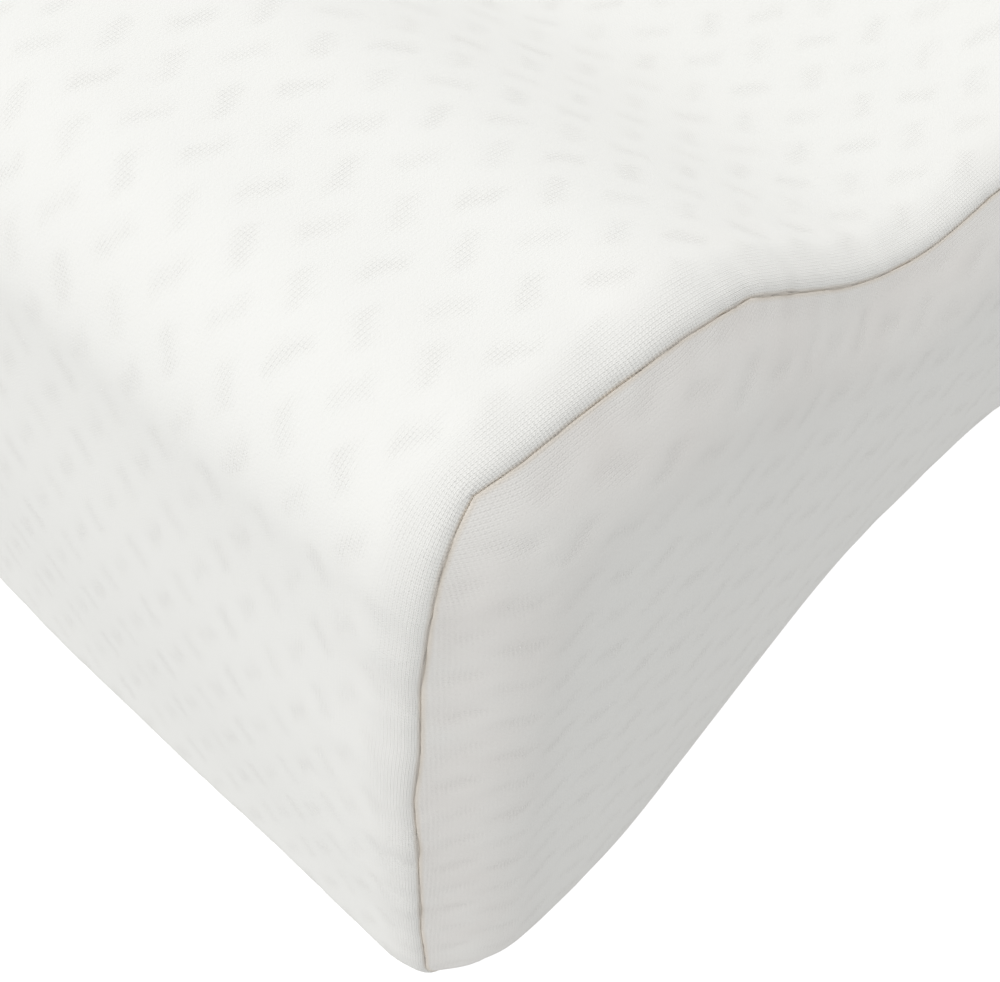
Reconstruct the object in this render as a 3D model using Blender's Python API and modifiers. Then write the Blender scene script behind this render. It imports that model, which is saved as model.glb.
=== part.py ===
"""A contoured knee pillow: a soft hourglass form in a knit cover, sewn from one band and two end panels.

Metres, +Z up. X runs from lobe to lobe and Y along the leg. The pillow lies on the undersides of its two
lobes, and the origin is on the surface under its middle.
"""

import bmesh
import bpy
import numpy as np

# Overall size of the filled cover.
LENGTH = 0.250
DEPTH = 0.200
LOBE_HEIGHT = 0.150
WAIST_HEIGHT = 0.085

# The hourglass outline, with places measured along X from the middle.
WAIST_LEVEL = 0.010
LOBE_LEVEL = 0.082
CORNER_RADIUS = 0.021
END_CROWN = 0.002

# Crowns, the rounded edge between band and end panel, and the seam that runs along it.
BAND_CROWN = 0.0015
PANEL_CROWN = 0.002
EDGE_RADIUS = 0.014
SEAM_ANGLE = np.radians(56)
SEAM_WIDTH = np.radians(10)
SEAM_DRAW = 0.0008

# The padded knit of an end panel, and the gap between sewn pieces.
PANEL_THICKNESS = 0.0025
GAP = 0.0003

# How far the lobes press flat on the surface under the pillow's weight, and the block that flattens them.
PRESSED = 0.001
BLOCK = 0.4

# Steps of each stretch of the surface.
END_STEPS = 3
CORNER_STEPS = 5
TOP_STEPS = 13
EDGE_STEPS = 3
BAND_STEPS = 4
FACE_STEPS = 4

COVER_COLOUR = (0.83, 0.82, 0.79, 1)
COVER_ROUGHNESS = 0.9

MIDDLE = LOBE_HEIGHT / 2 - PRESSED / 2
HALF_LENGTH = LENGTH / 2
HALF_LOBE = (LOBE_HEIGHT + PRESSED) / 2
HALF_WAIST = WAIST_HEIGHT / 2
SPINE = HALF_LENGTH - HALF_LOBE
EDGE_Y = DEPTH / 2 - PANEL_CROWN


def half_height(x):
    """Half the thickness at a distance x from the middle: half a cosine wave from waist to lobe."""
    rise = np.clip((x - WAIST_LEVEL) / (LOBE_LEVEL - WAIST_LEVEL), 0, 1)
    return HALF_WAIST + (HALF_LOBE - HALF_WAIST) * (0.5 - 0.5 * np.cos(np.pi * rise))


def quarter():
    """A quarter of the outline, from the middle of a lobe's end over its corner to the waist, as x and z.
    The end bulges by its crown, as a squared sine, and the corner is an arc.
    """
    straight = HALF_LOBE - CORNER_RADIUS
    z = np.linspace(0, straight, END_STEPS, endpoint=False)
    end = np.stack([-END_CROWN * np.sin(np.pi / 2 * z / straight) ** 2, z], 1)
    turn = np.linspace(0, np.pi / 2, CORNER_STEPS, endpoint=False)
    out = CORNER_RADIUS * (np.cos(turn) - 1) - END_CROWN
    corner = np.stack([out, straight + CORNER_RADIUS * np.sin(turn)], 1)
    x = np.linspace(HALF_LENGTH - END_CROWN - CORNER_RADIUS, 0, TOP_STEPS, endpoint=False)
    top = np.stack([x - HALF_LENGTH, half_height(x)], 1)
    return np.concatenate([end, corner, top]) + (HALF_LENGTH, 0)


def outline():
    """The closed outline around the middle, with its outward directions."""
    first = quarter()
    second = np.concatenate([[[0, HALF_WAIST]], first[:0:-1] * (-1, 1)])
    upper = np.concatenate([first, second])
    points = np.concatenate([upper, -upper])
    along = np.roll(points, -1, axis=0) - np.roll(points, 1, axis=0)
    outward = np.stack([along[:, 1], -along[:, 0]], 1) / np.linalg.norm(along, axis=1)[:, None]
    return points, outward


POINTS, OUTWARD = outline()


def ring(inset, y):
    """The outline drawn in by inset, at a depth of y."""
    flat = POINTS - OUTWARD * inset
    return np.stack([flat[:, 0], np.full(len(flat), y), flat[:, 1] + MIDDLE], 1)


def edge_ring(angle, under=0.0):
    """A ring on the rounded edge, from angle 0 at the end panel to a quarter turn at the band."""
    radius = EDGE_RADIUS - under
    inset = BAND_CROWN + EDGE_RADIUS - radius * np.sin(angle)
    return ring(inset, -EDGE_Y + EDGE_RADIUS - radius * np.cos(angle))


def face_rings(under=0.0):
    """The crowned end face, from the line along its middle out to the rounded edge."""
    rim = edge_ring(0, under)
    spine = np.stack([np.clip(rim[:, 0], -SPINE, SPINE), rim[:, 1], np.full(len(rim), MIDDLE)], 1)
    rings = []
    for share in np.linspace(0, 1, FACE_STEPS, endpoint=False):
        points = spine + share * (rim - spine)
        points[:, 1] -= PANEL_CROWN * np.cos(np.pi / 2 * share) ** 2
        rings.append(points)
    return rings


def band_rings():
    """The band from the end of its rounded edge to the middle of the pillow, with its crown."""
    start = EDGE_Y - EDGE_RADIUS
    rings = []
    for share in np.linspace(1, 0, BAND_STEPS + 1)[1:]:
        rings.append(ring(BAND_CROWN * np.sin(np.pi / 2 * share) ** 2, -start * share))
    return rings


def loft(name, rings):
    """A mesh of four-sided faces through the rings, its middle line welded and its faces pointing out."""
    count = len(rings[0])
    first = np.arange(count)
    after = np.roll(first, -1)
    faces = []
    for row in range(len(rings) - 1):
        near, far = row * count, (row + 1) * count
        faces += np.stack([near + first, far + first, far + after, near + after], 1).tolist()
    mesh = bpy.data.meshes.new(name)
    mesh.from_pydata(np.concatenate(rings).tolist(), [], faces)
    work = bmesh.new()
    work.from_mesh(mesh)
    bmesh.ops.remove_doubles(work, verts=work.verts, dist=0.00001)
    bmesh.ops.recalc_face_normals(work, faces=work.faces)
    work.to_mesh(mesh)
    work.free()
    mesh.shade_smooth()
    mesh.set_sharp_from_angle(angle=np.radians(50))
    return mesh


def cover_material(name):
    """White knit: a pale, warm, matt cloth."""
    material = bpy.data.materials.new(name)
    material.use_nodes = True
    shader = material.node_tree.nodes["Principled BSDF"]
    shader.inputs["Base Color"].default_value = COVER_COLOUR
    shader.inputs["Roughness"].default_value = COVER_ROUGHNESS
    shader.inputs["Metallic"].default_value = 0.0
    return material


def collection(name):
    made = bpy.data.collections.new(name)
    bpy.context.scene.collection.children.link(made)
    return made


def add_object(name, mesh, group):
    made = bpy.data.objects.new(name, mesh)
    group.objects.link(made)
    return made


def floor_cutter(group):
    """A block below the surface, which cuts the lobes' undersides to their flat resting spots."""
    bpy.ops.mesh.primitive_cube_add(size=BLOCK, location=(0, 0, -BLOCK / 2))
    cutter = bpy.context.active_object
    cutter.name = "surface_cutter"
    cutter.hide_render = True
    cutter.display_type = "WIRE"
    for home in list(cutter.users_collection):
        home.objects.unlink(cutter)
    group.objects.link(cutter)
    return cutter


def filled_band(group, cutter):
    """The band around its filling, in one solid: half of it, mirrored, with a seat at each end for a panel."""
    under = PANEL_THICKNESS + GAP
    rings = face_rings(under)
    rings += [edge_ring(angle, under) for angle in np.linspace(0, SEAM_ANGLE, EDGE_STEPS)]
    rings.append(edge_ring(SEAM_ANGLE, SEAM_DRAW))
    rings += [edge_ring(angle) for angle in np.linspace(SEAM_ANGLE + SEAM_WIDTH, np.pi / 2, EDGE_STEPS)]
    rings += band_rings()
    band = add_object("filled_band", loft("filled_band", rings), group)
    mirror = band.modifiers.new("Far half", "MIRROR")
    mirror.use_axis = (False, True, False)
    mirror.merge_threshold = 0.0001
    flat = band.modifiers.new("Resting spots", "BOOLEAN")
    flat.object = cutter
    flat.solver = "EXACT"
    band.data.materials.append(cover_material("band_knit"))
    return band


def end_panels(group):
    """The two hourglass end panels, one shape, the far one turned half round. Each is a bowl of cloth: its
    outer skin from the middle out to the seam, then its inner skin back again.
    """
    seam = SEAM_ANGLE - GAP / (EDGE_RADIUS - PANEL_THICKNESS)
    outer = face_rings()
    outer += [edge_ring(angle) for angle in np.linspace(0, seam - SEAM_WIDTH, EDGE_STEPS)]
    outer.append(edge_ring(seam, SEAM_DRAW))
    inner = face_rings(PANEL_THICKNESS)
    inner += [edge_ring(angle, PANEL_THICKNESS) for angle in np.linspace(0, seam, EDGE_STEPS)]
    mesh = loft("end_panel", outer + inner[::-1])
    mesh.materials.append(cover_material("panel_knit"))
    for name, turn in (("end_panel_near", 0.0), ("end_panel_far", np.pi)):
        panel = add_object(name, mesh, group)
        panel.rotation_euler.z = turn


for old in list(bpy.data.objects):
    bpy.data.objects.remove(old)
pillow = collection("knee_pillow")
cutters = collection("cutters")
filled_band(pillow, floor_cutter(cutters))
end_panels(pillow)
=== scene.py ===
"""A contoured knee pillow in its white knit cover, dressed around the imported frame. Metres, +Z up."""

import bpy
import numpy as np
from mathutils import Matrix


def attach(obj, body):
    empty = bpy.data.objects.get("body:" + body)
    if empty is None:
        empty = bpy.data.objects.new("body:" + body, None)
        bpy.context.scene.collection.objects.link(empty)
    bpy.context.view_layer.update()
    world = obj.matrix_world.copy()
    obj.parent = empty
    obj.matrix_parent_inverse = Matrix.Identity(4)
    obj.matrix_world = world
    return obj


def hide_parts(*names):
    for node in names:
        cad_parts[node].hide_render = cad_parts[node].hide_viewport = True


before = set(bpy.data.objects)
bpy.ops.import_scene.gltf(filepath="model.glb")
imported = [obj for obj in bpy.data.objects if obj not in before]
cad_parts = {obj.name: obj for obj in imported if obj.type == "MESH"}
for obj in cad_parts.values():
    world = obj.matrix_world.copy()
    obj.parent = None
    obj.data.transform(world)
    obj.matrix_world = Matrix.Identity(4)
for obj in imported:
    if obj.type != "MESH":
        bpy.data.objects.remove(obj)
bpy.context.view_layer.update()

# The camera stands close over the near corner and looks down on it, tilted a little to one side. Its place
# and its lens were fitted to the pillow's outline and seam.
YAW, PITCH, ROLL = np.radians([48.95, 55.32, 3.67])
CAMERA_PLACE = (-0.1848, -0.1586, 0.2924)
LENS = 61.06
SENSOR = 36
NEAREST = 0.01
ahead = np.array([np.sin(YAW) * np.cos(PITCH), np.cos(YAW) * np.cos(PITCH), -np.sin(PITCH)])
level = np.array([np.cos(YAW), -np.sin(YAW), 0])
above = np.cross(level, ahead)
right = np.cos(ROLL) * level + np.sin(ROLL) * above
upward = np.cos(ROLL) * above - np.sin(ROLL) * level
camera = bpy.data.objects.new("camera", bpy.data.cameras.new("camera"))
bpy.context.scene.collection.objects.link(camera)
camera.matrix_world = Matrix(np.stack([right, upward, -ahead], 1).tolist()).to_4x4()
camera.location = CAMERA_PLACE
camera.data.lens = LENS
camera.data.sensor_width = SENSOR
camera.data.sensor_fit = "HORIZONTAL"
camera.data.clip_start = NEAREST
bpy.context.scene.camera = camera
bpy.context.scene.view_settings.view_transform = "Standard"

# The band: one long strip of knit that goes right round the soft form, over both lobes and through both
# waists. It is sewn to an end panel along each edge, and the filling inside holds it taut and puffs it up.
LENGTH = 0.250
DEPTH = 0.200
LOBE_HEIGHT = 0.150
WAIST_HEIGHT = 0.085
WAIST_LEVEL = 0.010
LOBE_LEVEL = 0.082
CORNER_RADIUS = 0.021
END_CROWN = 0.002
BAND_CROWN = 0.0015
PANEL_CROWN = 0.002
EDGE_RADIUS = 0.014
SEAM_ANGLE = np.radians(56)
PRESSED = 0.001
MIDDLE = LOBE_HEIGHT / 2 - PRESSED / 2
HALF_LENGTH = LENGTH / 2
HALF_LOBE = (LOBE_HEIGHT + PRESSED) / 2
HALF_WAIST = WAIST_HEIGHT / 2
FLAT = DEPTH / 2 - PANEL_CROWN - EDGE_RADIUS
SEAM = FLAT + EDGE_RADIUS * (np.pi / 2 - SEAM_ANGLE)
END_POINTS = 80
CORNER_POINTS = 120
TOP_POINTS = 500


def half_height(x):
    """Half the thickness at a distance x from the middle: half a cosine wave from waist to lobe."""
    rise = np.clip((x - WAIST_LEVEL) / (LOBE_LEVEL - WAIST_LEVEL), 0, 1)
    return HALF_WAIST + (HALF_LOBE - HALF_WAIST) * (0.5 - 0.5 * np.cos(np.pi * rise))


def outline():
    """The closed outline, as rows of x, z and the outward direction. A quarter is the bulging end, as a
    squared sine, the corner, as an arc, and the half cosine wave down to the waist. Mirrored and turned, it
    makes the whole. Each row also has its length along the outline from the middle of the +X end.
    """
    straight = HALF_LOBE - CORNER_RADIUS
    z = np.linspace(0, straight, END_POINTS, endpoint=False)
    end = np.stack([-END_CROWN * np.sin(np.pi / 2 * z / straight) ** 2, z], 1)
    turn = np.linspace(0, np.pi / 2, CORNER_POINTS, endpoint=False)
    corner = np.stack([CORNER_RADIUS * (np.cos(turn) - 1) - END_CROWN,
                       straight + CORNER_RADIUS * np.sin(turn)], 1)
    x = np.linspace(HALF_LENGTH - END_CROWN - CORNER_RADIUS, 0, TOP_POINTS, endpoint=False)
    top = np.stack([x - HALF_LENGTH, half_height(x)], 1)
    first = np.concatenate([end, corner, top]) + (HALF_LENGTH, 0)
    upper = np.concatenate([first, [[0, HALF_WAIST]], first[:0:-1] * (-1, 1)])
    points = np.concatenate([upper, -upper])
    along = np.roll(points, -1, axis=0) - np.roll(points, 1, axis=0)
    outward = np.stack([along[:, 1], -along[:, 0]], 1) / np.linalg.norm(along, axis=1)[:, None]
    rows = np.concatenate([points, outward], 1)
    rows = np.concatenate([rows, rows[:1]])
    steps = np.linalg.norm(np.diff(rows[:, :2], axis=0), axis=1)
    return rows, np.concatenate([[0], np.cumsum(steps)])


OUTLINE, PLACES = outline()
ROUND = PLACES[-1]


def cover(u, m, h):
    """Points on the filled cover: u metres along the outline, m across it from the middle of the band, and h
    out from the surface. Past the flat band the surface bends round the rounded edge, as an arc, until it
    faces along Y at the rim of the end panel.
    """
    x, z, out_x, out_z = (np.interp(u % ROUND, PLACES, OUTLINE[:, i]) for i in range(4))
    flat = np.minimum(np.abs(m), FLAT)
    bend = np.clip((np.abs(m) - FLAT) / EDGE_RADIUS, 0, np.pi / 2)
    inset = BAND_CROWN * np.sin(np.pi / 2 * flat / FLAT) ** 2 + EDGE_RADIUS * (1 - np.cos(bend))
    inset = inset - h * np.cos(bend)
    y = np.sign(m) * (flat + (EDGE_RADIUS + h) * np.sin(bend))
    return np.stack([x - out_x * inset, y, np.maximum(z - out_z * inset + MIDDLE, 0)], -1)


def smooth(value):
    """A share from 0 to 1 that starts and ends level."""
    share = np.clip(value, 0, 1)
    return share * share * (3 - 2 * share)


def unevenness(u, v, seed, shortest, longest, lean=1.0, count=16):
    """Soft lumps, mostly between -1 and 1: a sum of sine waves of random length and direction. Each has a
    whole number of waves round the outline, so that it closes, and a lean below 1 keeps the waves' direction
    near that of u.
    """
    draw = np.random.default_rng(seed)
    total = np.zeros(np.broadcast(u, v).shape)
    for _ in range(count):
        length = draw.uniform(shortest, longest)
        angle = draw.uniform(-1, 1) * lean * np.pi / 2
        turns = np.round(ROUND * np.cos(angle) / length)
        total += np.sin(2 * np.pi * (turns * u / ROUND + np.sin(angle) * v / length + draw.uniform(0, 1)))
    return total / np.sqrt(count)


# The dashes' shape in shares of a diamond, and how their strength goes up and down from one to the next.
DASH_WIDTH = 0.21
DASH_END = 0.3
DASH_MEAN = 0.3
DASH_STRENGTH = 0.85
DASH_STRAY = 0.15
ROW_TURN = 2.1
COLUMN_TURN = 4.7


def dashes(p, q):
    """The sunk dashes of the knit, up to 1 at their middle and 0 on the ridges round them. The repeat is cut
    into diamonds, one dash in each, and the dashes of neighbouring diamonds lean opposite ways, like parquet.
    A dash is a bell curve across and fades smoothly to its ends, and some are fainter, by a sine of the
    diamond's row and column.
    """
    a, b = p + q, p - q
    odd = (np.floor(a) + np.floor(b)) % 2
    strength = DASH_STRENGTH + DASH_STRAY * np.sin(ROW_TURN * np.floor(a) + COLUMN_TURN * np.floor(b))
    a, b = a % 1 - 0.5, b % 1 - 0.5
    along = np.where(odd, b, a)
    across = np.where(odd, a, b)
    return strength * np.exp(-(across / DASH_WIDTH) ** 2) * smooth((0.5 - np.abs(along)) / DASH_END)


# The band's grid: steps in a repeat of the knit, repeats round the outline, and rows from the middle to a
# seam, the last of them pinched together.
STEPS = 12
REPEATS = 50
BAND_ROWS = 123
TURNED_ROWS = 2
PINCHED_ROWS = 2.5
PINCH_REACH = 2.8
REPEAT_LONG = ROUND / REPEATS
REPEAT_WIDE = SEAM / (BAND_ROWS - PINCHED_ROWS) * STEPS
DASH_X = -0.0887
DASH_ROW = 88
DASH_DEPTH = 0.00008
SKEW = 0.11

# Relief of the band, in metres: each has its depth and how far from the seam it reaches.
LUMPS = 0.00010
NEAR_LUMPS = 0.00018
NEAR_REACH = 0.016
CREASES = 0.00012
CREASE_REACH = 0.006
LIP = 0.00018
LIP_PLACE = 0.0019
LIP_WIDTH = 0.0012
GROOVE = 0.0005
GROOVE_REACH = 0.0006
PUFF_FROM = 0.002
PUFF_REACH = 0.009
ALLOWANCE = 0.0030

# How far the seam strays by chance, and how far into the cloth that is felt.
SEAM_STRAY = 0.00025
STRAY_REACH = 0.008

# Where the near seam strays from its even line, over the near lobe: places on the outline, and millimetres
# towards the end panel. It is drawn to a point at the top corner and kinks where the waist begins.
SEAM_RUN = np.array([
    (0.200, -0.3), (0.224, -0.35), (0.240, 0.2), (0.254, 0.3), (0.264, 0.0), (0.268, -0.4), (0.273, 0.1),
    (0.280, 0.4), (0.292, 0.1), (0.303, -0.4), (0.311, -0.45), (0.315, -1.0), (0.3188, -1.85),
    (0.3226, -1.25), (0.328, -0.45), (0.333, 0.2), (0.338, 0.6), (0.346, 0.1), (0.355, -0.4),
    (0.371, 0.15), (0.384, -0.25), (0.400, 0.5), (0.420, 0.1), (0.436, -0.5), (0.450, 0.0)])

# The stretch of the outline that the list covers, and over what length it takes over from chance.
KNOWN_FROM = 0.190
KNOWN_TO = 0.460
KNOWN_FADE = 0.01

# The top corner's place on the outline. Both pieces have a grid point there, so that it stays sharp.
CORNER_PLACE = 0.3188


def seam_wander(u, side):
    """How far the seam strays from its even line, in metres: by soft waves, and on the near side over the
    near lobe by its own list, read as straight stretches between its points.
    """
    stray = SEAM_STRAY * unevenness(u, 0, 5 + side, 0.018, 0.075, 0.0)
    if side:
        return stray
    place = u % ROUND
    known = smooth((place - KNOWN_FROM) / KNOWN_FADE) * smooth((KNOWN_TO - place) / KNOWN_FADE)
    return stray + known * (np.interp(place, SEAM_RUN[:, 0], SEAM_RUN[:, 1] / 1000) - stray)


def band_height(u, v, d, side):
    """How far the band stands out, at a distance d from its nearer seam: soft lumps everywhere, shorter ones
    near the seam, creases across the seam that die away from it, and a rolled lip, as a bell curve, before it
    dives into the seam.
    """
    lumps = LUMPS * unevenness(u, v, 11, 0.030, 0.080)
    near = NEAR_LUMPS * unevenness(u, v, 12, 0.010, 0.026, 0.35) * np.exp(-(d / NEAR_REACH) ** 2)
    creases = CREASES * unevenness(u, v, 13 + side, 0.0035, 0.009, 0.12) * np.exp(-(d / CREASE_REACH) ** 1.5)
    lip = LIP * np.exp(-((d - LIP_PLACE) / LIP_WIDTH) ** 2)
    groove = GROOVE * np.exp(-(d / GROOVE_REACH) ** 1.1)
    return lumps + near + creases + lip - groove


def band_mesh():
    """The band as a diamond grid that follows the dashes: row r is one step of the repeat on from the last,
    and its points lie between those of its neighbours. Towards the seam the rows are pinched together, and
    the last two go straight in, as the turned-in edge. Two flat ends close it behind the end panels.
    """
    per_row = REPEATS * STEPS // 2
    last = BAND_ROWS + TURNED_ROWS
    r = np.arange(-last, last + 1)[:, None]
    s = 2 * np.arange(per_row)[None, :] + r % 2
    step = REPEAT_WIDE / STEPS
    k = np.maximum(BAND_ROWS - np.abs(r), 0)
    d = step * (k - PINCHED_ROWS * (1 - np.exp(-k / PINCH_REACH)))
    side = np.sign(r)
    middle_top = np.interp(-DASH_X, -OUTLINE[:len(OUTLINE) // 2, 0], PLACES[:len(OUTLINE) // 2])
    u = middle_top + REPEAT_LONG * (0.5 - s / STEPS) + SKEW * step * (r + DASH_ROW)
    slide = (CORNER_PLACE - u[last - BAND_ROWS] + ROUND / 2) % ROUND - ROUND / 2
    slide = slide[np.argmin(np.abs(slide))]
    felt = np.exp(-d / STRAY_REACH)
    u = u + np.where(side < 0, slide * felt, 0)
    wander = np.where(side < 0, seam_wander(u, 0), seam_wander(u, 1))
    m = side * (SEAM - d + wander * felt)
    p, q = s / STEPS, (r + DASH_ROW) / STEPS
    puff = smooth((d - PUFF_FROM) / PUFF_REACH)
    h = np.where(side < 0, band_height(u, m, d, 0), band_height(u, m, d, 1))
    h = h + DASH_DEPTH * puff * (DASH_MEAN - dashes(p, q))
    turned = np.maximum(np.abs(r) - BAND_ROWS, 0) / TURNED_ROWS
    h = np.where(turned > 0, -GROOVE + (GROOVE - ALLOWANCE) * turned, h)
    points = cover(u, m, h).reshape(-1, 3)

    centre_r, centre_s = np.meshgrid(np.arange(-last, last + 1), np.arange(2 * per_row), indexing="ij")
    keep = (centre_r + centre_s) % 2 == 1
    centre_r, centre_s = centre_r[keep], centre_s[keep]

    def index(row, place):
        return (row + last) * per_row + (place % (2 * per_row)) // 2

    before, beyond = index(centre_r, centre_s - 1), index(centre_r, centre_s + 1)
    inner = np.abs(centre_r) < last
    row, place = centre_r[inner], centre_s[inner]
    quads = np.stack([before[inner], index(row + 1, place), beyond[inner], index(row - 1, place)], 1)
    quad_s = np.stack([place - 1, place, place + 1, place], 1)
    quad_r = np.stack([row, row + 1, row, row - 1], 1)
    row, place = centre_r[~inner], centre_s[~inner]
    inward = row - np.sign(row)
    tips = index(inward, place)
    low = row < 0
    ends = np.where(low[:, None], np.stack([before[~inner], tips, beyond[~inner]], 1),
                    np.stack([beyond[~inner], tips, before[~inner]], 1))
    end_s = np.where(low[:, None], np.stack([place - 1, place, place + 1], 1),
                     np.stack([place + 1, place, place - 1], 1))
    end_r = np.stack([row, inward, row], 1)
    caps = [index(-last, 2 * np.arange(per_row)).tolist()[::-1], index(last, 2 * np.arange(per_row)).tolist()]
    faces = quads.tolist() + ends.tolist() + caps
    place = np.concatenate([quad_s.ravel(), end_s.ravel(), np.zeros(2 * per_row)]) / STEPS
    row = (np.concatenate([quad_r.ravel(), end_r.ravel(), np.zeros(2 * per_row)]) + DASH_ROW) / STEPS
    return points, faces, np.stack([place, row], 1), np.broadcast_to(d, s.shape).ravel()


def knit_object(name, points, faces, weave, seam):
    """A smooth object of the given points and faces, with its place in the weave as a UV map, in repeats,
    and each point's distance from the seam, in millimetres, as an attribute.
    """
    mesh = bpy.data.meshes.new(name)
    mesh.from_pydata(points.tolist(), [], faces)
    mesh.uv_layers.new(name="weave").data.foreach_set("uv", weave.astype(np.float32).ravel())
    mesh.attributes.new("seam", "FLOAT", "POINT").data.foreach_set("value", (seam * 1000).astype(np.float32))
    mesh.shade_smooth()
    made = bpy.data.objects.new(name, mesh)
    bpy.context.scene.collection.objects.link(made)
    return made


class Wire:
    """A node's output that takes arithmetic: each operator adds one Math node."""

    def __init__(self, tree, socket=None):
        self.tree = tree
        self.socket = socket

    def add(self, kind, settings=(), sockets=(), out=0):
        """A new node of any kind: its settings are set first, then each socket gets its value or link."""
        node = self.tree.nodes.new(kind)
        for key, value in dict(settings).items():
            setattr(node, key, value)
        for key, value in dict(sockets).items():
            if isinstance(value, Wire):
                self.tree.links.new(value.socket, node.inputs[key])
            else:
                node.inputs[key].default_value = value
        return Wire(self.tree, node.outputs[out])

    def math(self, operation, *values):
        return self.add("ShaderNodeMath", {"operation": operation}, enumerate(values))

    def __add__(self, other):
        return self.math("ADD", self, other)

    def __sub__(self, other):
        return self.math("SUBTRACT", self, other)

    def __rsub__(self, other):
        return self.math("SUBTRACT", other, self)

    def __mul__(self, other):
        return self.math("MULTIPLY", self, other)

    def __truediv__(self, other):
        return self.math("DIVIDE", self, other)

    def __abs__(self):
        return self.math("ABSOLUTE", self)

    def __neg__(self):
        return self.math("MULTIPLY", self, -1)

    __radd__ = __add__
    __rmul__ = __mul__


RIDGE_COLOUR = (0.885, 0.885, 0.857, 1)
# The sunk colour: painted shade for the dashes and the gaps between stitches, and the dark end of a random
# mottle.
SHADE_AND_MOTTLE_COLOUR = (0.848, 0.828, 0.79, 1)
# The puckered colour: the cloth's own warmer tint beside the seam, made darker as painted shade on the
# rounded edge.
PUCKERED_TINT_AND_SHADE = (0.835, 0.812, 0.782, 1)
# The last colour: painted shade in the crease of the seam.
CREVICE_SHADE_COLOUR = (0.81, 0.755, 0.68, 1)
ROUGHNESS = 0.88
SPECULAR = 0.2
SHEEN = 0.12
SHEEN_ROUGHNESS = 0.4

# The stitches: columns and rows in a repeat, and how far a row swings their height up and down, as a share.
# They show a little everywhere, more in the dashes.
WALES = 17
COURSES = 28
ROW_SWING = 0.3
SHOWN = 0.10
SHOWN_IN_DASHES = 0.45

# How far the colour goes from the ridge colour towards the sunk one: painted shade between the stitches
# of a dash and of the bare ground beside the seam, and a random mottle in the patches. DASH_LIFT makes a dash
# lighter all over.
DASH_PAINTED_SHADE = 0.40
DASH_LIFT = 0.07
GROUND_PAINTED_SHADE = 0.6
PATCH_MOTTLE = 0.25

# Sizes of the noises, in waves a metre, and how far the first pushes the dashes about, in repeats.
STRAY_SCALE = 300.0
STRAY_LONG = 0.20
STRAY_WIDE = 0.30
PATCH_SCALE = 90.0
FUZZ_SCALE = 2600.0

# Bump heights in millimetres, and distances from the seam in millimetres where the painted shades begin and
# are
# full: the warmer tint darkened as painted shade, and the painted shade in the seam's crease.
STITCH_HEIGHT = 0.13
FUZZ_HEIGHT = 0.05
DASH_SINK = 0.05
TINT_AND_SHADE_FROM = 22.0
TINT_AND_SHADE_FULL = 2.0
CREVICE_SHADE_FROM = 0.70
CREVICE_SHADE_FULL = 0.05


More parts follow.
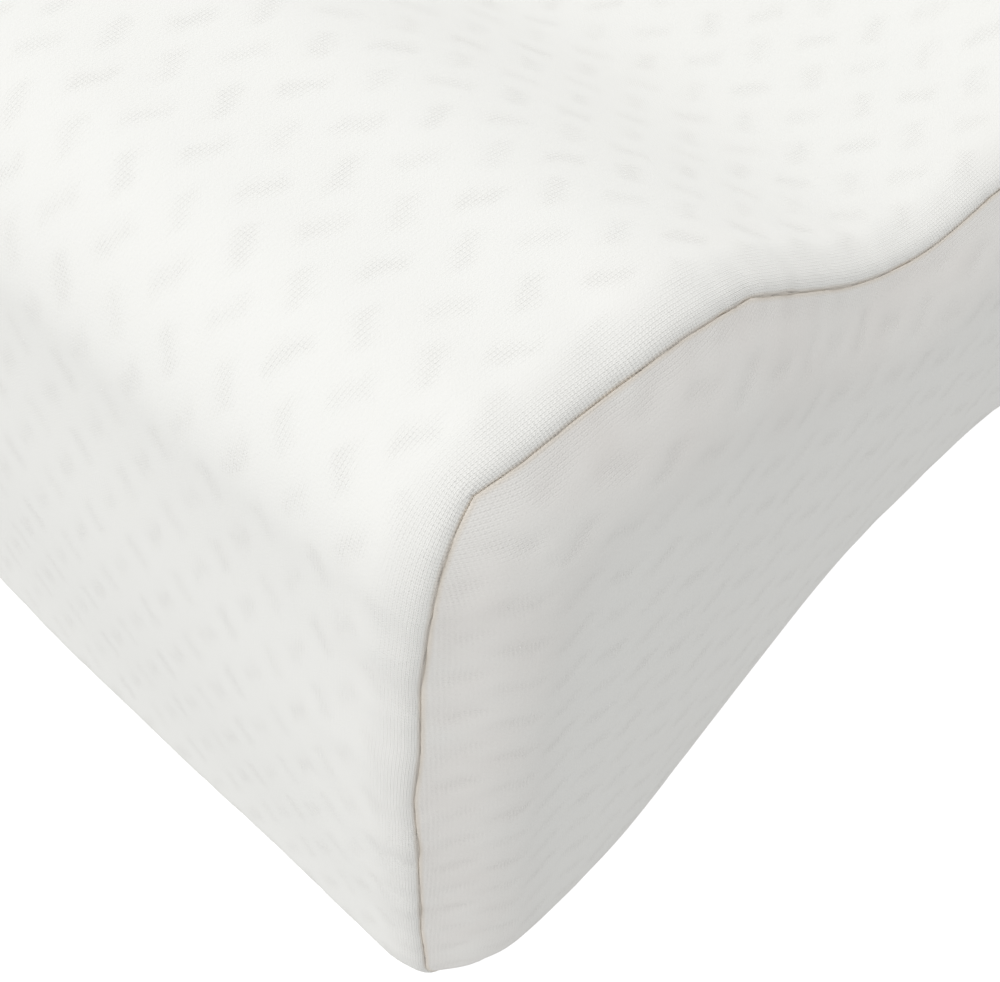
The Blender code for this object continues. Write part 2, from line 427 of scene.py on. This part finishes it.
def knit_material(name, ground, flat_from, warm_and_shade):
    """White double knit: puffed ridges round sunk dashes, where the ground of the knit shows its stitches as
    rows of small V shapes. The ground also shows beside the seam, where the cloth is stretched flat: fully at
    a fifth of flat_from, in millimetres, and with the strength that ground gives. The dashes and the gaps
    between stitches get painted shade. The cloth beside the seam is a warmer tint, made darker as painted
    shade on the rounded edge, as much as the last argument says, and the seam's crease gets painted shade. A
    column of stitches is a rounded ridge with a shallower line down its middle, and the rows cross it as a
    cosine wave bent to a V. Soft patches of noise change the tone and both edges.
    """
    material = bpy.data.materials.new(name)
    material.use_nodes = True
    tree = material.node_tree
    start = Wire(tree)
    weave = start.add("ShaderNodeUVMap", {"uv_map": "weave"})
    parts = start.add("ShaderNodeSeparateXYZ", (), {0: weave})
    p, q = Wire(tree, parts.socket), Wire(tree, parts.socket.node.outputs[1])
    seam = start.add("ShaderNodeAttribute", {"attribute_name": "seam"}, (), 2)
    place = start.add("ShaderNodeTexCoord", out="Object")

    stray = start.add("ShaderNodeTexNoise", (), {"Vector": place, "Scale": STRAY_SCALE, "Detail": 3.0}, 1)
    stray = Wire(tree, start.add("ShaderNodeSeparateXYZ", (), {0: stray}).socket)
    stray_p, stray_q = stray, Wire(tree, stray.socket.node.outputs[1])
    cell_p, cell_q = p + STRAY_LONG * (stray_p - 0.5), q + STRAY_WIDE * (stray_q - 0.5)
    a, b = cell_p + cell_q, cell_p - cell_q
    floor_a, floor_b = start.math("FLOOR", a), start.math("FLOOR", b)
    odd = start.math("FLOORED_MODULO", floor_a + floor_b, 2)
    a, b = a - floor_a - 0.5, b - floor_b - 0.5
    along = a + odd * (b - a)
    across = b + odd * (a - b)
    body = start.math("EXPONENT", -(across * across) / DASH_WIDTH ** 2)
    ends = start.add("ShaderNodeMapRange", {"interpolation_type": "SMOOTHSTEP"},
                     {"Value": abs(along), "From Min": 0.5, "From Max": 0.5 - DASH_END})
    patches = start.add("ShaderNodeTexNoise", (), {"Vector": place, "Scale": PATCH_SCALE, "Detail": 2.0})
    puff = start.add("ShaderNodeMapRange", {"interpolation_type": "SMOOTHSTEP"},
                     {"Value": seam * (0.4 + 1.2 * patches),
                      "From Min": flat_from / 5, "From Max": flat_from})
    strength = DASH_STRENGTH + DASH_STRAY * start.math("SINE", ROW_TURN * floor_a + COLUMN_TURN * floor_b)
    dash = body * ends * puff * strength
    bare = 1 - puff

    wale = start.math("FRACT", q * WALES) - 0.5
    course = p * COURSES + abs(wale)
    legs = 0.5 * start.math("COSINE", wale * np.pi) + 0.5 * abs(start.math("SINE", wale * (2 * np.pi)))
    stitch = legs * ((1 - ROW_SWING) + ROW_SWING * start.math("COSINE", course * (2 * np.pi)))
    fuzz = start.add("ShaderNodeTexNoise", (), {"Vector": place, "Scale": FUZZ_SCALE, "Detail": 2.0})
    shown = SHOWN + SHOWN_IN_DASHES * dash + ground * bare
    height = stitch * shown * STITCH_HEIGHT + fuzz * FUZZ_HEIGHT - dash * DASH_SINK
    bump = start.add("ShaderNodeBump", (), {"Strength": 1.0, "Distance": 0.001, "Height": height})

    # Painted shade in the dashes and between the stitches, plus a random mottle from the patches.
    depth = dash * (DASH_PAINTED_SHADE * (0.9 - stitch) - DASH_LIFT) + bare * (GROUND_PAINTED_SHADE * ground) * (0.6 - stitch)
    depth = depth + PATCH_MOTTLE * (patches - 0.5)
    cloth = start.add("ShaderNodeMix", {"data_type": "RGBA", "clamp_factor": True},
                      {"Factor": depth, "A": RIDGE_COLOUR, "B": SHADE_AND_MOTTLE_COLOUR}, 2)
    # Beside the seam the cloth turns to a warmer tint of its own, made darker as painted shade on the rounded
    # edge.
    tint_and_shade = start.add("ShaderNodeMapRange", {"interpolation_type": "SMOOTHSTEP"},
                       {"Value": seam, "From Min": TINT_AND_SHADE_FROM, "From Max": TINT_AND_SHADE_FULL, "To Max": warm_and_shade})
    cloth = start.add("ShaderNodeMix", {"data_type": "RGBA"},
                      {"Factor": tint_and_shade * (1.6 * patches), "A": cloth, "B": PUCKERED_TINT_AND_SHADE}, 2)
    # Painted shade in the crease of the seam.
    crevice_shade = start.add("ShaderNodeMapRange", {"interpolation_type": "SMOOTHSTEP"},
                        {"Value": seam, "From Min": CREVICE_SHADE_FROM, "From Max": CREVICE_SHADE_FULL})
    colour = start.add("ShaderNodeMix", {"data_type": "RGBA"},
                       {"Factor": crevice_shade, "A": cloth, "B": CREVICE_SHADE_COLOUR}, 2)
    shader = tree.nodes["Principled BSDF"]
    tree.links.new(colour.socket, shader.inputs["Base Color"])
    tree.links.new(bump.socket, shader.inputs["Normal"])
    shader.inputs["Roughness"].default_value = ROUGHNESS
    shader.inputs["Specular IOR Level"].default_value = SPECULAR
    shader.inputs["Sheen Weight"].default_value = SHEEN
    shader.inputs["Sheen Roughness"].default_value = SHEEN_ROUGHNESS
    return material


band = knit_object("knit_band", *band_mesh())
band.data.materials.append(knit_material("band_knit_cloth", ground=0.50, flat_from=9.0, warm_and_shade=0.15))
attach(band, "root")
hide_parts("filled_band")

# The two end panels: hourglass pieces of the same knit, cut to the outline of the form. Each is sewn to the
# band all round, a little way round the rounded edge, and lies flat over the end of the filling.
PANEL_LONG = 230
PANEL_HIGH = 120
PANEL_RINGS = 16
PANEL_RIM = 0.0155
PANEL_CLOTH = 0.0015
PANEL_DASH_DEPTH = 0.00007
PUCKERED_DEPTH = 0.00026
PUCKERED_REACH = 0.016
PANEL_REPEAT_LONG = 0.0156
PANEL_REPEAT_HIGH = 0.0090
BULGE = 0.0060
BULGE_REACH = 0.0148
SPARE = 0.0011
CROWN = 0.0025
CROWN_REACH = 0.038
WAIST_FULL = 0.93
LOBE_FULL = 0.10
LOBE_FROM = 0.045
LOBE_RUN = 0.035
END_FULL = 0.12
END_FROM = 0.095
END_RUN = 0.02
CREASE = 0.0004
PANEL_LUMPS = 0.00014
PANEL_CREASES = 0.00010
PANEL_STRAY_REACH = 0.005


def seam_place(u, side, h):
    """Where the seam runs: how far in from the outline, and how far from the middle along Y, when it lies at
    a height of h over the band's edge.
    """
    bend = (SEAM + seam_wander(u, side) - FLAT) / EDGE_RADIUS
    reach = EDGE_RADIUS + h
    return BAND_CROWN + EDGE_RADIUS - reach * np.cos(bend), FLAT + reach * np.sin(bend)


def distance_in(x, z, border):
    """The distance of each point from the seam all round, smooth everywhere: what one straight edge would
    give the same sum of inverse fourth powers of the distances to its points.
    """
    steps = np.linalg.norm(np.roll(border, -1, axis=0) - border, axis=1)
    square = (x[..., None] - border[:, 0]) ** 2 + (z[..., None] - border[:, 1]) ** 2
    return ((steps / np.maximum(square, 1e-7) ** 2).sum(-1) * 2 / np.pi) ** (-1 / 3)


def panel_height(u, x, z, e, sunk, seed):
    """How far the panel stands out at a distance e from the seam: a rounded edge and a low crown, both as a
    quarter of a sine wave, fuller at the lobes and most at their ends, soft lumps, creases that run from the
    seam, and the sunk dashes, deeper beside the seam.
    """
    swell = BULGE * np.sin(np.pi / 2 * np.clip(e / BULGE_REACH, 0, 1))
    swell = swell + CROWN * np.sin(np.pi / 2 * np.clip(e / CROWN_REACH, 0, 1))
    fuller = WAIST_FULL + LOBE_FULL * smooth((np.abs(x) - LOBE_FROM) / LOBE_RUN)
    fuller = fuller + END_FULL * smooth((np.abs(x) - END_FROM) / END_RUN)
    swell = swell * fuller
    lumps = PANEL_LUMPS * unevenness(x, z, 31 + seed, 0.035, 0.090) * smooth(e / 0.004)
    creases = PANEL_CREASES * unevenness(u, e, 33 + seed, 0.005, 0.012, 0.12)
    creases = creases * np.exp(-(e / CREASE_REACH) ** 1.5)
    depth = PANEL_DASH_DEPTH + PUCKERED_DEPTH * np.exp(-e / PUCKERED_REACH)
    depth = depth * smooth((e - 0.0005) / 0.004)
    return swell + lumps + creases * smooth(e / 0.0015) + depth * (DASH_MEAN - sunk)


def panel_mesh(side):
    """An end panel: a four-sided patch ruled from the lower to the upper rim, which bulges out to the rim
    at both ends, and rings round it that run to the seam and then turn in under the band. The knit's pattern
    is read a little further out than each point lies, near the seam, as cloth eased over a rounded edge.
    """
    sign = 1 if side else -1
    corner = PLACES[END_POINTS] + CORNER_RADIUS * np.pi / 4
    stops = [corner, ROUND / 2 - corner, ROUND / 2 + corner, ROUND - corner, ROUND + corner]
    if not side:
        stops[1] = CORNER_PLACE
    counts = [PANEL_LONG, PANEL_HIGH, PANEL_LONG, PANEL_HIGH]
    u = np.concatenate([np.linspace(a, b, n, endpoint=False) for a, b, n in zip(stops, stops[1:], counts)])
    x, z, out_x, out_z = (np.interp(u % ROUND, PLACES, OUTLINE[:, i]) for i in range(4))
    z = z + MIDDLE
    seam_inset, seam_y = seam_place(u, side, -CREASE)
    k = np.arange(PANEL_RINGS + 1)[:, None]
    shares = k - PINCHED_ROWS * (1 - np.exp(-k / PINCH_REACH))
    inset = seam_inset + (PANEL_RIM - seam_inset) * shares / shares[-1]
    e = inset - seam_inset
    ring_x, ring_z = x - out_x * inset, z - out_z * inset
    ring_u = np.broadcast_to(u, e.shape)
    border = np.stack([ring_x[0], ring_z[0]], 1)[::2]

    edge = np.stack([ring_x[-1], ring_z[-1]], 1)
    edge = np.concatenate([edge, edge[:1]])
    n, w = PANEL_LONG, PANEL_HIGH
    top, left = edge[:n + 1][::-1], edge[n:n + w + 1][::-1]
    bottom, right_end = edge[n + w:2 * n + w + 1], edge[2 * n + w:]
    i = np.linspace(0, 1, n + 1)[:, None, None]
    j = np.linspace(0, 1, w + 1)[None, :, None]
    patch = (1 - j) * bottom[:, None] + j * top[:, None]
    patch += (1 - smooth(3 * i)) * (left - (1 - j) * bottom[0] - j * top[0])
    patch += (1 - smooth(3 * (1 - i))) * (right_end - (1 - j) * bottom[-1] - j * top[-1])

    flat = np.concatenate([patch.reshape(-1, 2), np.stack([ring_x, ring_z], -1)[:-1].reshape(-1, 2)])
    soft = distance_in(flat[:, 0], flat[:, 1], border)
    exact = np.concatenate([np.full(patch.shape[0] * patch.shape[1], PANEL_RIM), e[:-1].ravel()])
    near_seam = 1 - smooth((exact - 0.002) / 0.006)
    distance = soft + (exact - soft) * near_seam
    grid_size = patch.shape[0] * patch.shape[1]
    place = np.concatenate([np.zeros(grid_size), ring_u[:-1].ravel()])
    level = np.median(seam_y)
    stray = (seam_y - level) * np.exp(-e[:-1] / PANEL_STRAY_REACH)
    foot = level + np.concatenate([np.zeros(grid_size), stray.ravel()])
    spare = SPARE * (1 - np.clip(e[:-1] / BULGE_REACH, 0, 1)) ** 2
    spare = np.stack([out_x * spare, out_z * spare], -1).reshape(-1, 2)
    cloth = flat + np.concatenate([np.zeros((grid_size, 2)), spare])
    cloth = cloth * (-sign, 1) / (PANEL_REPEAT_LONG, PANEL_REPEAT_HIGH)
    sunk = dashes(cloth[:, 0], cloth[:, 1])
    y = foot + panel_height(place, flat[:, 0], flat[:, 1], distance, sunk, side)
    points = np.stack([flat[:, 0], sign * y, np.maximum(flat[:, 1], 0)], 1)
    seam_m = sign * (SEAM + seam_wander(u, side))
    turned = [cover(u, seam_m, np.full(len(u), -h)) for h in (ALLOWANCE, (ALLOWANCE + CREASE) / 2)]
    points = np.concatenate([points] + turned)
    distance = np.concatenate([distance, np.zeros(2 * len(u))])
    cloth = np.concatenate([cloth, np.tile(cloth[grid_size:grid_size + len(u)], (2, 1))])

    grid = np.arange((n + 1) * (w + 1)).reshape(n + 1, w + 1)
    faces = np.stack([grid[:-1, :-1], grid[1:, :-1], grid[1:, 1:], grid[:-1, 1:]], -1).reshape(-1, 4)
    rim = np.concatenate([grid[:, -1][::-1], grid[0, ::-1][1:], grid[1:, 0], grid[-1, 1:-1]])
    loops = np.arange(grid.size, len(points)).reshape(-1, len(u))
    loops = np.concatenate([loops[-2:], loops[:-2], rim[None]])
    after = np.roll(loops, -1, axis=1)
    strip = np.stack([loops[:-1], after[:-1], after[1:], loops[1:]], -1).reshape(-1, 4)
    faces = np.concatenate([faces, strip])
    if side:
        faces = faces[:, ::-1]
    return points, faces.tolist(), cloth[faces.ravel()], distance


panel_knit = knit_material("panel_knit_cloth", ground=0.38, flat_from=4.0, warm_and_shade=0.9)
for side, node in enumerate(("end_panel_near", "end_panel_far")):
    panel = knit_object(node.replace("end", "knit"), *panel_mesh(side))
    panel.data.materials.append(panel_knit)
    wall = panel.modifiers.new("Cloth", "SOLIDIFY")
    wall.thickness = PANEL_CLOTH
    wall.offset = -1
    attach(panel, "root")
    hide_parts(node)

# The floor: a plain white studio table that glows a little, so it stays white round the pillow, and a white
# dome far behind it. Neither throws light on the pillow: the room does that.
FLOOR_SIZE = 16
FLOOR_DROP = 0.0005
DOME_SHARE = 0.49


def studio_piece(name, mesh, colour, glow):
    """A matt piece of the studio that glows white, seen by the camera alone."""
    material = bpy.data.materials.new(name)
    material.use_nodes = True
    shader = material.node_tree.nodes["Principled BSDF"]
    shader.inputs["Base Color"].default_value = (colour, colour, colour, 1)
    shader.inputs["Roughness"].default_value = 0.9
    shader.inputs["Emission Color"].default_value = (1, 1, 1, 1)
    shader.inputs["Emission Strength"].default_value = glow
    mesh.materials.append(material)
    piece = bpy.data.objects.new(name, mesh)
    bpy.context.scene.collection.objects.link(piece)
    piece.visible_diffuse = False
    piece.visible_glossy = False
    piece.visible_shadow = False


floor_mesh = bpy.data.meshes.new("floor")
corners = np.array([(-1, -1, 0), (1, -1, 0), (1, 1, 0), (-1, 1, 0)]) * FLOOR_SIZE / 2 - (0, 0, FLOOR_DROP)
floor_mesh.from_pydata(corners.tolist(), [], [(0, 1, 2, 3)])
studio_piece("floor", floor_mesh, colour=0.75, glow=0.6)
around, rise = np.meshgrid(np.linspace(0, 2 * np.pi, 65), np.linspace(0, np.pi / 2, 17), indexing="ij")
dome = np.stack([np.cos(around) * np.cos(rise), np.sin(around) * np.cos(rise), np.sin(rise)], -1)
dome_grid = np.arange(dome[..., 0].size).reshape(dome.shape[:2])
dome_faces = np.stack([dome_grid[:-1, :-1], dome_grid[:-1, 1:], dome_grid[1:, 1:], dome_grid[1:, :-1]], -1)
dome_mesh = bpy.data.meshes.new("dome")
dome_mesh.from_pydata((dome * FLOOR_SIZE * DOME_SHARE).reshape(-1, 3).tolist(), [],
                      dome_faces.reshape(-1, 4).tolist())
studio_piece("dome", dome_mesh, colour=0.0, glow=1.0)

# Soft studio light: a pale room all round. It is brightest high up towards the far end panel and bright at
# the two lobes, more so at the near one. It is dimmer before the near end panel and dimmest low behind the
# far one.
ROOM = 0.52
LOBES = 0.376
NEAR_LOBE = 0.14
FAR_END = 0.12
OVERHEAD = 0.54
UPPER = 0.10
UPPER_FAR = 0.50
world = bpy.data.worlds.new("room")
world.use_nodes = True
bpy.context.scene.world = world
room = Wire(world.node_tree)
direction = room.add("ShaderNodeSeparateXYZ", (), {0: room.add("ShaderNodeTexCoord", out="Generated")})
ends, depth, height = (Wire(world.node_tree, output) for output in direction.socket.node.outputs)
overhead = room.math("MAXIMUM", height, 0.0)
light = ROOM + LOBES * (ends * ends) - NEAR_LOBE * ends + FAR_END * depth + OVERHEAD * overhead
light = light + UPPER * height + UPPER_FAR * (depth * height)
world.node_tree.links.new(light.socket, world.node_tree.nodes["Background"].inputs["Strength"])
world.node_tree.nodes["Background"].inputs["Color"].default_value = (1, 1, 1, 1)
